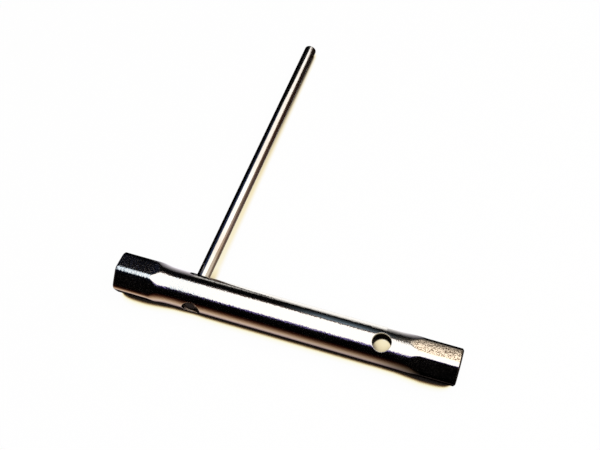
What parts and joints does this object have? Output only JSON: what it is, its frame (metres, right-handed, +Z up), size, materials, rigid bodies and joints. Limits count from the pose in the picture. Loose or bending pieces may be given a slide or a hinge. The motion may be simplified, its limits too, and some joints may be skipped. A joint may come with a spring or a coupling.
{
  "type": "tubular box spanner",
  "caption": "Steel tube with hexagon sockets of neighbouring sizes pressed into its ends and cross holes, turned by a loose round bar that slides through the tube.",
  "frame": {"origin": "centre of the larger socket's mouth, on the tube's axis", "axes": "+X along the tube from the larger socket to the smaller one, +Y the way the bar points out of the tube, +Z up from the table the tool lies on"},
  "size_m": [0.131, 0.1443, 0.0156],
  "materials": {
    "plated_steel": "bright plated over drawn tube, satin on the hexagon flats",
    "drawn_bar_steel": "bright drawn"
  },
  "bodies": {
    "tube": {"spanner_tube": "plated_steel"},
    "bar": {"tommy_bar": "drawn_bar_steel"}
  },
  "joints": [
    {"name": "bar_slide", "type": "slide", "parent": "tube", "child": "bar", "axis": [-0.0209, -0.9991, 0.0375], "range_m": [0, 0.13]}
  ]
}
